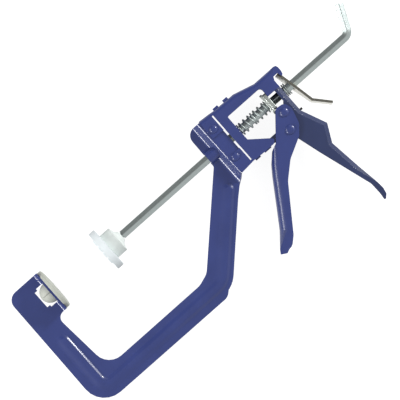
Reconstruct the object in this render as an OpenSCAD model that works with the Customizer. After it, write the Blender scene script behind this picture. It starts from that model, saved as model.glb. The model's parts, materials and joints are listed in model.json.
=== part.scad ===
// Quick release bar clamp with a squeeze trigger.
// The clamp lies on its side: the rod runs along X, the throat opens towards -Y and Z is the width.
// The origin is on the rod's axis, in the working face of the fixed jaw pad.

/* [Rod] */
// Width of the hexagonal rod across its flats
rod_flats = 7.4; // [6:0.1:7.6]
// Where the straight rod turns up into its bent end
rod_bend_x = 328; // [315:1:350]
// Length of the bent end, from the corner of the rod's axis
rod_tail = 27.5; // [20:0.5:40]
// Angle that the rod is bent by
rod_bend_angle = 65.5; // [45:0.5:90]

/* [Jaws] */
// Free opening between the two pads at rest
opening = 48.7; // [40:0.1:50]
// Diameter of both pads
pad_d = 38.6; // [34:0.2:40]
// Thickness of the fixed pad
fixed_pad_t = 4.7; // [4:0.1:5.2]
// Thickness of the swivel pad without its ribs
swivel_pad_t = 6.5; // [6:0.1:7]
// Height of the ribs on the swivel pad
rib_h = 1.0; // [0.6:0.1:1.4]
// Outer diameter of the swivel cup
cup_d = 24.2; // [23:0.2:26]
// How far the fixed pad's centre sits from the rod's axis
fixed_pad_y = 4.4; // [3:0.1:5]

/* [Frame] */
// Depth of the throat, from the rod's axis to the inner edge of the back
throat = 75.9; // [70:0.1:80]
// Width of the back of the frame
back_w = 23.2; // [22:0.1:24]
// Thickness of each pressed frame half
frame_t = 2.0; // [1.6:0.1:2.2]
// Half of the width of the jaw flange
flange_half = 12; // [11:0.5:13]
// Height of the pressed bead above the sheet
bead_h = 2.6; // [2:0.1:3]

/* [Receiver] */
// Outer half width of the receiver channel
receiver_half = 10.8; // [10.6:0.1:11]
// Sheet of the receiver, the handle and the trigger
sheet = 1.8; // [1.6:0.1:1.9]
// Running clearance between the nested channels
nest_gap = 0.1; // [0.1:0.02:0.2]

/* [Springs] */
// Wire of the main spring
main_wire = 1.3; // [1.1:0.1:1.4]
// Mean radius of the main spring
main_radius = 5.2; // [5.1:0.1:5.6]
// Pitch of the open turns of the main spring
main_pitch = 4.7; // [4.4:0.1:5]
// Wire of the release spring
release_wire = 1.1; // [0.9:0.1:1.2]

/* [Hidden] */
$fn = 64;
eps = 0.01;                      // overlap that makes two shapes one
far = 60;                        // beyond every face that a cut must pass
arc_steps = 6;                   // straight steps in a rounded corner of an outline

blue = [0.16, 0.20, 0.42];
steel = [0.62, 0.65, 0.62];
beige = [0.74, 0.75, 0.68];
white = [0.92, 0.95, 0.96];

// Rod and swivel
rod_r = rod_flats / 2 / cos(30);          // out to the corners of the hexagon
rod_bend_r = 7;                            // bend radius on the axis
ball_x = opening + rib_h + swivel_pad_t + 6.2;
ball_r = 4.6;
neck_r = 2.4;
ball_play = 0.15;
pad_back_x = opening + rib_h + swivel_pad_t;
cup_end_x = pad_back_x + 10.4;            // end of the cup's straight side
collar_x = pad_back_x + 14.4;             // end of the cup's collar
rod_start_x = collar_x + 0.7;
spigot_r = 9.5;
spigot_l = 2.9;

// Fixed jaw
flange_x = -fixed_pad_t;                   // face that the fixed pad sits on
flange_t = 2.1;
jaw_low_y = -15.3;
jaw_high_y = 24.1;
fold_r = 2.5;                              // radius inside the flange's fold
boss_r = 9.1;                              // snap boss behind the flange
boss_neck_r = 8.1;
boss_gap = 0.2;
window_half = 9.9;                         // straight part of the window behind the flange
window_run = 7.2;

// Head of the frame and the receiver around it
head_front_x = 168.4;
head_rear_x = 194.5;
head_half = receiver_half - sheet - nest_gap;   // outer face of the raised head
head_rise_x = [176.5, 182.4];                   // where the sheet climbs to the raised head
slit_x = [195, 196.3];
tunnel_r = 4.7;                                 // round passage for the rod
upper_rivet = [188.9, 15.7];
lower_rivet = [187.5, -14.2];
handle_half = head_half;
inner_half = handle_half - sheet;               // inside of the handle channel

// Receiver
guide_x = [199.3, 204.8];
window_rear_x = 242;
rear_wall_x = 255;

// Trigger and its plates
pivot = [237.5, -27.8];
pusher = [243.3, -13.4];
pusher_r = 4.0;
trigger_in = handle_half + 0.2;
trigger_out = trigger_in + sheet;
plate_x = [236.4, 238.6, 238.7, 241.8];         // faces of the two drive plates
plate_half = 8.5;

// Release lever
lever_pivot = [259.6, 14.8];
lever_tilt = 12.6;                               // degrees from square to the rod
lever_t = 2.2;
lever_plate = 36.6;                              // straight part, pivot to bend
lever_tail = 17.5;
lever_tail_tilt = 42;
lever_yaw = 8;                                   // play of the loose plate about its own length
lever_half = 8.8;
tail_half = 6;
lever_hole_r = 4.9;

// Outline helpers -------------------------------------------------------------------------

// Unit vector from a to b
function towards(a, b) = (b - a) / norm(b - a);

// Points that round the corner at b, between a and c, with radius b[2]
function corner_arc(a, b, c) =
    let (u = towards([b[0], b[1]], [a[0], a[1]]),
         v = towards([b[0], b[1]], [c[0], c[1]]),
         half = acos(max(-1, min(1, u * v))) / 2,
         bisector = (u + v) / norm(u + v),
         centre = [b[0], b[1]] + bisector * b[2] / sin(half),
         start = [b[0], b[1]] + u * b[2] / tan(half) - centre,
         turn = cross(start, v - u) > 0 ? 1 : -1,
         sweep = turn * (180 - 2 * half))
    [for (i = [0:arc_steps])
        let (t = sweep * i / arc_steps)
        centre + [start[0] * cos(t) - start[1] * sin(t), start[0] * sin(t) + start[1] * cos(t)]];

// Closed outline from corners [x, y] or [x, y, radius]
function rounded(corners) =
    [for (i = [0:len(corners) - 1])
        let (n = len(corners), b = corners[i])
        each len(b) < 3
            ? [b]
            : corner_arc(corners[(i + n - 1) % n], b, corners[(i + 1) % n])];

// Open path moved sideways by d, to the right of its direction where d is positive
function shifted(path, d) =
    [for (i = [0:len(path) - 1])
        let (before = i == 0 ? path[0] : path[i - 1],
             after = i == len(path) - 1 ? path[i] : path[i + 1],
             u = i == 0 ? towards(path[0], after) : towards(before, path[i]),
             v = i == len(path) - 1 ? u : towards(path[i], after),
             m = towards([0, 0], u + v))
        path[i] + [m[1], -m[0]] * d / (m * u)];

// Closed strip of sheet of thickness d, to the right of an open path
function strip(path, d) =
    let (inside = shifted(path, d), n = len(path))
    concat(path, [for (i = [n - 1:-1:0]) inside[i]]);

// Slab of an outline between two heights
module slab(outline, low, high) {
    translate([0, 0, low]) linear_extrude(high - low) polygon(outline);
}

// The same slab on both sides of the middle plane
module both_sides(outline, low, high) {
    slab(outline, low, high);
    slab(outline, -high, -low);
}

// Cylinder along X from x0 to x1
module bar_x(x0, x1, r0, r1) {
    translate([x0, 0, 0]) rotate([0, 90, 0]) cylinder(h = x1 - x0, r1 = r0, r2 = r1);
}

// Cylinder along Z, centred on the middle plane
module pin_z(at, r, half) {
    translate([at[0], at[1], -half]) cylinder(h = 2 * half, r = r);
}

// Domed rivet head that stands on height z, on the side of its sign
module dome(at, r, h, z) {
    ball = (r * r + h * h) / (2 * h);
    side = z > 0 ? 1 : -1;
    translate([at[0], at[1], z]) difference() {
        translate([0, 0, side * (h - ball)]) sphere(ball);
        translate([0, 0, -side * far]) cube(2 * far, center = true);
    }
}

// Rivet along Z with a dome at each end
module rivet(at, shank_r, head_r, head_h, half) {
    pin_z(at, shank_r, half + eps);
    dome(at, head_r, head_h, half);
    dome(at, head_r, head_h, -half);
}

// C frame ---------------------------------------------------------------------------------

back_low_y = -throat - back_w;

frame_outline = rounded([
    [flange_x - flange_t - fold_r, jaw_high_y], [-37.9, jaw_high_y, 9], [-38.8, -60],
    [-39.3, back_low_y + 0.5, 21], [103.5, back_low_y, 9], [181.6, -27.6], [183.3, -26.8],
    [head_rear_x, -26.8], [head_rear_x, 25.8], [183, 26.6], [182.9, 27.9],
    [168.6, 27.9, 8.5], [head_front_x - 0.4, -8.2, 3], [103, -72.2, 14], [92, -throat, 16],
    [-11.4, -throat, 15.5], [-16.3, jaw_low_y, 6.2],
    [flange_x - flange_t - fold_r, jaw_low_y]
]);

// Bead: down the jaw arm, along the back and up the slanted arm, with two round corners
bead_corner = [[-16, -78.4], [101.5, -70.4]];   // centres of the corners
bead_bend_r = [9, 17];
bead_jaw_run = 43.4;
bead_slant_run = 72.2;
bead_base = 11;
bead_top = 7;
bead_lap = 0.3;                                  // how far the slanted run starts inside its corner
bead_step = 0.02;

// Cross-section of the bead, made smaller by inset and reaching depth below the sheet
module bead_profile(inset, depth) {
    polygon([[-bead_base / 2 + inset, -depth], [bead_base / 2 - inset, -depth],
             [bead_base / 2 - inset, frame_t - inset], [bead_top / 2 - inset, frame_t + bead_h - inset],
             [-bead_top / 2 + inset, frame_t + bead_h - inset],
             [-bead_base / 2 + inset, frame_t - inset]]);
}

// Straight stretch of the bead along X
module bead_run(length, inset, depth) {
    rotate([90, 0, 90]) linear_extrude(length) bead_profile(inset, depth);
}

// Round end of the bead
module bead_end(inset, depth) {
    translate([0, 0, frame_t - inset])
        cylinder(h = bead_h, r1 = bead_base / 2 - inset, r2 = bead_top / 2 - inset);
    translate([0, 0, -depth]) cylinder(h = depth + frame_t - inset, r = bead_base / 2 - inset);
}

// Whole bead on one half; its slanted run starts inside the corner and is a trace smaller
module bead(inset, depth) {
    slim = inset + bead_step;
    translate([bead_corner[0][0], bead_corner[0][1], 0]) {
        rotate([0, 0, 180]) rotate_extrude(angle = 90)
            translate([bead_bend_r[0], 0]) bead_profile(inset, depth);
        translate([-bead_bend_r[0], 0, 0]) rotate([0, 0, 90]) {
            bead_run(bead_jaw_run, inset, depth);
            translate([bead_jaw_run, 0, 0]) bead_end(inset, depth);
        }
        translate([0, -bead_bend_r[0], 0])
            bead_run(bead_corner[1][0] - bead_corner[0][0], inset, depth);
    }
    translate([bead_corner[1][0], bead_corner[1][1], 0]) {
        rotate([0, 0, -90]) rotate_extrude(angle = 45)
            translate([bead_bend_r[1], 0]) bead_profile(inset, depth);
        rotate([0, 0, 45]) translate([-bead_lap, -bead_bend_r[1], 0]) {
            bead_run(bead_slant_run + bead_lap, slim, depth);
            translate([bead_slant_run + bead_lap, 0, 0]) bead_end(slim, depth);
        }
    }
}

// Side view of the sheet along the frame: flat, then raised at the head
module sheet_profile() {
    polygon([[-far, 0], [head_rise_x[0], 0], [head_rise_x[1], head_half - frame_t],
             [head_rear_x + 1, head_half - frame_t], [head_rear_x + 1, head_half],
             [head_rise_x[1] - 0.6, head_half], [head_rise_x[0] - 0.6, frame_t], [-far, frame_t]]);
}

// Folded flange that carries the fixed pad, seen along Y
module flange_profile() {
    fold_out = fold_r + frame_t;
    fold_x = flange_x - flange_t - fold_r;
    translate([flange_x - flange_t, fold_out]) square([flange_t, flange_half - fold_out]);
    intersection() {
        translate([fold_x, fold_out]) difference() {
            circle(fold_out);
            circle(fold_r);
        }
        translate([fold_x - eps, 0]) square([fold_out + flange_t, fold_out]);
    }
}

// Opening behind the flange for the snap boss of the pad
module jaw_window() {
    rear_x = flange_x - flange_t;
    translate([0, 0, -far]) linear_extrude(2 * far) intersection() {
        union() {
            translate([rear_x, fixed_pad_y]) circle(boss_r + 0.3);
            translate([rear_x - window_run, fixed_pad_y - window_half])
                square([window_run, 2 * window_half]);
        }
        translate([rear_x - far, -far]) square([far, 2 * far]);
    }
}

// One pressed half; the other is its mirror image
module frame_half() {
    difference() {
        union() {
            intersection() {
                slab(frame_outline, 0, far / 2);
                translate([0, far, 0]) rotate([90, 0, 0]) linear_extrude(4 * far) sheet_profile();
            }
            bead(0, 0);
            translate([0, jaw_high_y, 0]) rotate([90, 0, 0])
                linear_extrude(jaw_high_y - jaw_low_y) flange_profile();
            intersection() {
                bar_x(head_front_x + 0.3, head_rise_x[1] - 1, tunnel_r + frame_t, tunnel_r + frame_t);
                translate([0, -far, 0]) cube([4 * far, 2 * far, far]);
            }
        }
        bead(frame_t, 2 * frame_t);
        bar_x(head_front_x - far, head_rear_x + far, tunnel_r, tunnel_r);
        jaw_window();
        translate([0, fixed_pad_y, 0]) bar_x(-20, 0, boss_neck_r + boss_gap, boss_neck_r + boss_gap);
        for (at = [upper_rivet, lower_rivet]) pin_z(at, 2.1, far);
    }
}

module frame_half_top() {
    color(blue) frame_half();
}

module frame_half_bottom() {
    color(blue) mirror([0, 0, 1]) frame_half();
}

// Fixed pad: crowned disc with a split snap boss through the flange
module fixed_jaw_pad() {
    r = pad_d / 2;
    rear_x = flange_x - flange_t;
    color(beige) translate([0, fixed_pad_y, 0]) difference() {
        union() {
            rotate([0, 90, 0]) rotate_extrude() polygon([
                [0, flange_x], [r - 0.4, flange_x], [r, flange_x + 0.4], [r, -1.9],
                [r - 0.4, -1.1], [r - 1.2, -0.7], [13, 0], [0, 0]]);
            bar_x(rear_x - eps, flange_x + eps, boss_neck_r, boss_neck_r);
            intersection() {
                translate([rear_x, 0, 0]) sphere(boss_r);
                translate([rear_x - far, -far, -far]) cube([far, 2 * far, 2 * far]);
            }
        }
        translate([rear_x - far, -0.35, -far]) cube([far, 0.7, 2 * far]);
    }
}

// Receiver --------------------------------------------------------------------------------

receiver_top = [[183.4, 28.8], [194, 28], [200, 27.3], [221, 26.8], [240, 21.7], [262, 21.7],
                [264, 20.9], [264.8, 18.9], [264.8, 15.4], [264.1, 12.2]];
notch = [[263, 11.1], [262.2, 11.5], [261.5, 13.4], [261.3, 15.4], [256.6, 15.4], [255, 12.2]];

receiver_side = concat(receiver_top, notch, rounded([
    [rear_wall_x, 5.8], [window_rear_x, 5.8], [window_rear_x - 0.2, 15.6, 3],
    [guide_x[1], 15.6, 1.2], [guide_x[1] - 0.2, -9.8, 1], [219.4, -21.6, 1.5],
    [222.2, -24.6, 1.2], [219.5, -27.6, 2.5], [206.5, -27.5], [196.5, -26.9],
    [183, -28], [181.4, -10.4, 1], [slit_x[0], -10.8], [slit_x[0], -24.8], [slit_x[1], -24.8],
    [slit_x[1], 24.8], [slit_x[0], 24.8], [slit_x[0], 9.6], [183, 9.8]]));

lug_top = [[199.4, 204.8], [210.4, 215.4]];
lug_low = [[198.6, 203.8], [208.6, 215.8]];
lug_half = 6;

// Channel over the head of the frame, with its web along the top
module receiver_channel() {
    color(blue) difference() {
        union() {
            both_sides(receiver_side, head_half + nest_gap, receiver_half);
            slab(strip(receiver_top, sheet), -receiver_half + eps, receiver_half - eps);
        }
        for (lug = lug_top)
            translate([lug[0] - 0.1, 20, -lug_half - 0.1])
                cube([lug[1] - lug[0] + 0.2, 12, 2 * lug_half + 0.2]);
        for (at = [upper_rivet, lower_rivet]) pin_z(at, 2.1, far);
    }
}

handle_back = [[255, 17.2], [255, -21.4], [264.8, -44.2], [256.6, -60], [260.3, -90],
               [263.3, -110], [263.8, -117], [262.6, -122.5], [259.4, -125.6]];

handle_side = concat(handle_back, rounded([
    [258.2, -125.2], [258.8, -119], [258.6, -108, 8], [243.4, -58.5], [237.4, -37, 1],
    [224, -30, 2], [220.3, -27.4], [guide_x[1] + 0.3, -27.4], [guide_x[1] + 0.3, -21.8],
    [228, -21.8], [239.5, -20.6], [247.6, -18, 2], [247.6, -7.4, 2], [249.4, -5.4],
    [249.4, 5.8], [242.2, 5.8], [242.2, 17.2]]));

// Channel nested in the receiver, with its web behind the palm
module handle_channel() {
    color(blue) difference() {
        union() {
            both_sides(handle_side, inner_half, handle_half);
            slab(strip(handle_back, sheet), -handle_half + eps, handle_half - eps);
        }
        bar_x(240, 260, 4.6, 4.6);
        pin_z(pivot, 2.6, far);
        translate([0, -20.7, 0]) bar_x(250, 260, 1.05, 1.05);
    }
}

// Block inside the receiver: rod bearing, spring seat and spacer with staked lugs
module rod_guide() {
    half = inner_half - 0.1;
    color(blue) difference() {
        union() {
            translate([guide_x[0], -26.5, -half]) cube([guide_x[1] - guide_x[0], 51.4, 2 * half]);
            translate([guide_x[0], 21.4, -half]) cube([16.6, 3.2, 2 * half]);
            translate([guide_x[0], -26.5, -half]) cube([17, 3.2, 2 * half]);
            for (lug = lug_top)
                translate([lug[0], 21.5, -lug_half]) cube([lug[1] - lug[0], 7.6, 2 * lug_half]);
            for (lug = lug_low)
                translate([lug[0], -28.5, -lug_half]) cube([lug[1] - lug[0], 3, 2 * lug_half]);
        }
        bar_x(190, 220, 4.45, 4.45);
    }
}

// Two rivets through the tabs of the receiver and the head of the frame
module head_rivets() {
    color(blue) for (at = [upper_rivet, lower_rivet]) rivet(at, 2, 3.7, 1.7, receiver_half);
}

// Tubes that keep the two halves of the head apart
module head_spacers() {
    color(steel) for (at = [upper_rivet, lower_rivet]) difference() {
        pin_z(at, 4, head_half - frame_t - 0.02);
        pin_z(at, 2.1, far);
    }
}

// Pin in the back of the handle that stops the release lever
module stop_pin() {
    color("black") translate([0, -20.7, 0]) {
        bar_x(252, 257.3, 1, 1);
        bar_x(251.2, 252.2, 1.6, 1.6);
    }
}

// Springs ---------------------------------------------------------------------------------

curl_rings = 8;
wire_sides = 6;
closed_pitch = 1.8;
main_start_x = guide_x[1] + main_wire / 2 + 0.05;
main_end_x = plate_x[0] - main_wire / 2 - 0.05;
end_closed = 0.75;                          // closed turns at each end
mid_closed = 1;                             // closed turns in the middle
main_open = (main_end_x - main_start_x - (2 * end_closed + mid_closed) * closed_pitch) / main_pitch;
main_turns = main_open + 2 * end_closed + mid_closed;

// How far along its axis the main spring is after t turns
function main_rise(t) =
    let (a = end_closed, b = a + main_open / 2, c = b + mid_closed, d = c + main_open / 2)
    t < a ? t * closed_pitch :
    t < b ? a * closed_pitch + (t - a) * main_pitch :
    t < c ? main_rise(b - eps) + (t - b) * closed_pitch :
    t < d ? main_rise(c - eps) + (t - c) * main_pitch :
    main_rise(d - eps) + (t - d) * closed_pitch;

main_coil = [for (i = [0:round(main_turns * curl_rings)])
    let (t = i / curl_rings)
    [main_start_x + main_rise(t), main_radius * cos(360 * t), main_radius * sin(360 * t)]];

release_turns = 2;
release_radius = 5.5;
release_pitch = 1.75;
release_start_x = rear_wall_x + release_wire / 2 + 0.1;
release_coil = [for (i = [0:release_turns * curl_rings])
    let (t = i / curl_rings)
    [release_start_x + release_pitch * t, -release_radius * cos(360 * t), release_radius * sin(360 * t)]];

// Smallest clear gap between turns of a spring, from the points of its centre line
function turn_gap(points, wire) =
    min([for (i = [0:len(points) - 1]) for (j = [i + curl_rings / 2:1:len(points) - 1])
        norm(points[i] - points[j])]) - wire;
echo(main_spring_gap = turn_gap(main_coil, main_wire), turns = main_turns);
echo(release_spring_gap = turn_gap(release_coil, release_wire));

// Ring of points around the wire at place i of its centre line
function wire_ring(points, i, r) =
    let (n = len(points) - 1,
         along = towards(points[max(0, i - 1)], points[min(n, i + 1)]),
         out = towards([points[i][0], 0, 0], points[i]),
         side = cross(along, out),
         up = cross(side, along))
    [for (k = [0:wire_sides - 1])
        points[i] + r * (cos(360 * k / wire_sides) * up + sin(360 * k / wire_sides) * side)];

// One unbroken round wire along a centre line
module wire_tube(points, r) {
    n = len(points);
    skin = [for (i = [0:n - 1]) each wire_ring(points, i, r)];
    walls = [for (i = [0:n - 2]) for (k = [0:wire_sides - 1])
        let (a = i * wire_sides + k, b = i * wire_sides + (k + 1) % wire_sides)
        each [[a, b + wire_sides, b], [a, a + wire_sides, b + wire_sides]]];
    first = [for (k = [1:wire_sides - 2]) [0, k, k + 1]];
    last = [for (k = [1:wire_sides - 2])
        let (o = (n - 1) * wire_sides) [o, o + k + 1, o + k]];
    polyhedron(skin, concat(walls, first, last));
}

module main_spring() {
    color(steel) wire_tube(main_coil, main_wire / 2);
}

module release_spring() {
    color(steel) wire_tube(release_coil, release_wire / 2);
}

// Trigger and drive -----------------------------------------------------------------------

trigger_front = [[161, -101.8], [163.8, -97.4], [176, -83.2], [190, -65.3], [200, -49.8],
                 [208, -37.9], [213.4, -31.6]];

trigger_side = concat(trigger_front, rounded([
    [220.6, -28.4], [222.8, -25.8], [235, -11.6], [239.4, -6.4, 4], [248.4, -7.2, 5],
    [250.6, -15, 8], [246.6, -29, 8], [239.6, -36.8, 4], [221, -46.6, 12], [207, -59.2, 20],
    [180.4, -96.4, 8], [173, -103.2, 8], [163.2, -103.1]]));

// Channel that straddles the handle, with its web under the fingers
module trigger() {
    color(blue) difference() {
        union() {
            both_sides(trigger_side, trigger_in, trigger_out);
            slab(strip(trigger_front, sheet), -trigger_out + eps, trigger_out - eps);
        }
        pin_z(pivot, 2.55, far);
        pin_z(pusher, 2.05, far);
    }
}

module trigger_pivot_rivet() {
    color(blue) rivet(pivot, 2.5, 4.3, 1.8, trigger_out + 0.05);
}

// Tube on the pivot that keeps the sides of the handle apart
module pivot_sleeve() {
    color(steel) difference() {
        pin_z(pivot, 4.2, inner_half - 0.02);
        pin_z(pivot, 2.55, far);
    }
}

module pusher_rivet() {
    color(blue) rivet(pusher, 2, 4.1, 1.8, trigger_out);
}

// Sleeve on the pusher rivet that bears on the tail of the front drive plate
module pusher_sleeve() {
    color(steel) difference() {
        pin_z(pusher, pusher_r, inner_half - 0.2);
        pin_z(pusher, 2.05, far);
    }
}

// Front grip plate with the tail that the sleeve pushes
module drive_plate_front() {
    color(steel) difference() {
        translate([plate_x[0], 0, 0]) rotate([90, 0, 90]) linear_extrude(plate_x[1] - plate_x[0])
            polygon(rounded([[10.9, -plate_half, 2.5], [10.9, plate_half, 2.5], [-8, plate_half, 1.5],
                             [-9.5, 5.5, 1.5], [-17.6, 5.5, 1.5], [-17.6, -5.5, 1.5],
                             [-9.5, -5.5, 1.5], [-8, -plate_half, 1.5]]));
        bar_x(230, 245, 4.45, 4.45);
    }
}

// Rear grip plate
module drive_plate_rear() {
    color(steel) difference() {
        translate([plate_x[2], 0, 0]) rotate([90, 0, 90]) linear_extrude(plate_x[3] - plate_x[2])
            polygon(rounded([[9.8, -plate_half, 2.5], [9.8, plate_half, 2.5],
                             [-6.6, plate_half, 2], [-6.6, -plate_half, 2]]));
        bar_x(230, 245, 4.45, 4.45);
    }
}

// Release ---------------------------------------------------------------------------------

// Tilted grip plate whose bent end is the thumb tab
module release_lever() {
    hole_y = -lever_pivot[1] / cos(lever_tilt);
    color([0.72, 0.72, 0.66]) translate([lever_pivot[0], lever_pivot[1], 0])
        rotate([0, 0, lever_tilt]) rotate([0, lever_yaw, 0]) difference() {
            union() {
                translate([-lever_t / 2, 0, 0]) rotate([0, 90, 0]) linear_extrude(lever_t)
                    polygon([[-lever_half, 0], [-lever_half, hole_y - 5], [-tail_half, -lever_plate],
                             [tail_half, -lever_plate], [lever_half, hole_y - 5], [lever_half, 0]]);
                translate([lever_t / 2, -lever_plate, 0])
                    rotate([0, 0, lever_tail_tilt - lever_tilt])
                        translate([-lever_t, -lever_tail, -tail_half])
                            cube([lever_t, lever_tail + 0.6, 2 * tail_half]);
            }
            translate([0, hole_y, 0]) bar_x(-10, 10, lever_hole_r, lever_hole_r);
        }
}

// Rod and swivel jaw ----------------------------------------------------------------------

// Hexagonal bar along Z with a corner towards +X
module hex_bar(length) {
    cylinder(h = length, r = rod_r, $fn = 6);
}

// Bent hexagonal rod, turned down to a ball at the jaw
module hex_rod() {
    tangent = rod_bend_r * tan(rod_bend_angle / 2);
    bend_start = rod_bend_x - tangent;
    color(steel) {
        translate([rod_start_x, 0, 0]) rotate([0, 90, 0]) hex_bar(bend_start + eps - rod_start_x);
        translate([bend_start, rod_bend_r, 0]) rotate([0, 0, -90])
            rotate_extrude(angle = rod_bend_angle) translate([rod_bend_r, 0])
                rotate(90) circle(rod_r, $fn = 6);
        translate([rod_bend_x, 0, 0]) rotate([0, 0, rod_bend_angle])
            translate([tangent - eps, 0, 0]) rotate([0, 90, 0]) hex_bar(rod_tail + eps - tangent);
        bar_x(ball_x, rod_start_x + eps, neck_r, neck_r);
        translate([ball_x, 0, 0]) sphere(ball_r);
    }
}

// Cup that holds the ball; its collar leaves room to tilt
module swivel_cup() {
    r = cup_d / 2;
    bowl = ball_r + ball_play;
    color(beige) difference() {
        rotate([0, 90, 0]) rotate_extrude() polygon([
            [0, pad_back_x], [r, pad_back_x], [r, cup_end_x - 0.5], [r - 0.5, cup_end_x],
            [9.5, cup_end_x + 0.5], [7.4, cup_end_x + 1.2], [5.8, cup_end_x + 2.3],
            [5, cup_end_x + 3.2], [4.6, collar_x - 0.2], [4.4, collar_x], [0, collar_x]]);
        translate([ball_x, 0, 0]) sphere(bowl);
        bar_x(pad_back_x - 1, ball_x, bowl, bowl);
        bar_x(pad_back_x - 1, pad_back_x + spigot_l + 0.1, spigot_r + 0.1, spigot_r + 0.1);
        bar_x(ball_x + 2, collar_x + 1, 2.9, 4);
    }
}

// Round pad with cross ribs on its face and a spigot that turns in the cup
module swivel_pad() {
    r = pad_d / 2;
    face_x = opening + rib_h;
    rib_pitch = 6.5;
    rib_w = 5.6;
    color(white) difference() {
        union() {
            rotate([0, 90, 0]) rotate_extrude() polygon([
                [0, face_x], [r - 0.7, face_x], [r, face_x + 0.7], [r, pad_back_x - 0.7],
                [r - 0.7, pad_back_x], [0, pad_back_x]]);
            bar_x(pad_back_x - eps, pad_back_x + spigot_l, spigot_r, spigot_r);
            intersection() {
                bar_x(opening, face_x + 1, r - 1.6, r - 1.6);
                for (k = [-1.5:1:1.5])
                    translate([opening, k * rib_pitch - rib_w / 2, -far])
                        cube([far, rib_w, 2 * far]);
            }
        }
        translate([ball_x, 0, 0]) sphere(ball_r + ball_play);
    }
}

frame_half_top();
frame_half_bottom();
fixed_jaw_pad();
receiver_channel();
handle_channel();
rod_guide();
head_rivets();
head_spacers();
stop_pin();
main_spring();
release_spring();
trigger();
trigger_pivot_rivet();
pivot_sleeve();
pusher_rivet();
pusher_sleeve();
drive_plate_front();
drive_plate_rear();
release_lever();
hex_rod();
swivel_cup();
swivel_pad();
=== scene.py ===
"""Looks of the quick release bar clamp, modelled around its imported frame.

Sizes are in millimetres while a piece is being modelled. Each finished piece is brought to
metres, with its place in its mesh, and rides on the body that the frame gives it.
"""

import json
import logging
import math
from collections.abc import Callable, Iterator, Sequence
from contextlib import contextmanager
from dataclasses import dataclass, field
from enum import Enum

import bmesh
import bpy
from mathutils import Matrix, Vector


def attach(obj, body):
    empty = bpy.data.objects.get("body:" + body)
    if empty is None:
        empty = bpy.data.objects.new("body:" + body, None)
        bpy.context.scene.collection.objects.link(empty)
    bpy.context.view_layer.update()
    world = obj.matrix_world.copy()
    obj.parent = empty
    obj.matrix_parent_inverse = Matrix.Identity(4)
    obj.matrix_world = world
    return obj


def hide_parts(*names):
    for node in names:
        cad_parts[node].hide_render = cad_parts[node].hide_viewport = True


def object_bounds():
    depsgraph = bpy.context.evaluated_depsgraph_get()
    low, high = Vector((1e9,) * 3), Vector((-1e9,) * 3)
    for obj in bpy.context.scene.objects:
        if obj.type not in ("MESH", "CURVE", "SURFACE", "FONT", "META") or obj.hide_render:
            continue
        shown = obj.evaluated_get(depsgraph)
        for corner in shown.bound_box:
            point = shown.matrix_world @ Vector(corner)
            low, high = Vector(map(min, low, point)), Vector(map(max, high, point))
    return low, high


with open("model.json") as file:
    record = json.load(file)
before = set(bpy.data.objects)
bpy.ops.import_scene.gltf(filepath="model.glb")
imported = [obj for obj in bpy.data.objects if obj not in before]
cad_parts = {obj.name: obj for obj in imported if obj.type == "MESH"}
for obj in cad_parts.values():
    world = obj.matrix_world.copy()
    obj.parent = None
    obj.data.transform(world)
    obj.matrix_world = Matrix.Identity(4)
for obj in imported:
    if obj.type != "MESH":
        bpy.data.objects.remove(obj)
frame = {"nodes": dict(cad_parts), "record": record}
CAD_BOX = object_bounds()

LOG = logging.getLogger("clamp")
MM = 0.001
# Millimetres within which points merge, and within which a place is on a line or a plane
WELD = 1e-4
LOOSE = 1e-3
NEAR = 0.01
FINE = 0.002
# Usual rounding of a sheet's cut edge, in millimetres
ROUND = 0.3

Point2 = tuple[float, float]
Point3 = tuple[float, float, float]
Colour = tuple[float, float, float, float]
Test = Callable[[object], bool]
Piece = bpy.types.Object


class Slot(Enum):
    """Material slots of the record."""

    PAINT = "blue_paint"
    ROD = "rod_steel"
    PLATE = "plate_steel"
    SPRING = "spring_steel"
    LEVER = "lever_steel"
    DARK = "dark_steel"
    BEIGE = "beige_plastic"
    GREY = "grey_plastic"
    WHITE = "white_plastic"


class Body(Enum):
    """Moving bodies of the clamp."""

    FRAME = "frame"
    TRIGGER = "trigger_body"
    DRIVE = "drive"
    RELEASE = "release"
    ROD = "rod"
    CUP = "cup"
    PAD = "pad"


class Part(Enum):
    """Kinds of mesh element that can be picked."""

    VERT = "VERT"
    EDGE = "EDGE"
    FACE = "FACE"


# Shader expressions ----------------------------------------------------------------------


class Wave:
    """A shader socket or number that can be used in arithmetic."""

    def __init__(self, shop: "Shop", value: object) -> None:
        """Wraps a value.

        Args:
            shop: The material that the nodes are added to.
            value: An output socket or a number.
        """
        self.shop = shop
        self.value = value

    def _math(self, operation: str, *others: object, flip: bool = False) -> "Wave":
        """Adds a Math node on this value and others.

        Args:
            operation: The Math node's operation.
            others: The remaining operands.
            flip: Whether this value comes last.

        Returns:
            The result as a new expression.
        """
        terms = [self, *others]
        if flip:
            terms.reverse()
        sockets = dict(enumerate(terms))
        return self.shop.node("ShaderNodeMath", {"operation": operation}, sockets)

    def __add__(self, other: object) -> "Wave":
        """Sum."""
        return self._math("ADD", other)

    def __sub__(self, other: object) -> "Wave":
        """Difference."""
        return self._math("SUBTRACT", other)

    def __rsub__(self, other: object) -> "Wave":
        """Difference from a number."""
        return self._math("SUBTRACT", other, flip=True)

    def __mul__(self, other: object) -> "Wave":
        """Product."""
        return self._math("MULTIPLY", other)

    def __pow__(self, other: object) -> "Wave":
        """Power."""
        return self._math("POWER", other)

    __radd__ = __add__
    __rmul__ = __mul__

    def above(self, edge: float, soft: float) -> "Wave":
        """Soft step.

        Args:
            edge: The value at which the step is half way up.
            soft: The width of the step.

        Returns:
            0 below the edge and 1 above it.
        """
        return self.shop.node(
            "ShaderNodeMapRange",
            {"interpolation_type": "SMOOTHSTEP"},
            {0: self, 1: edge - soft / 2, 2: edge + soft / 2, 3: 0.0, 4: 1.0},
        )


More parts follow.
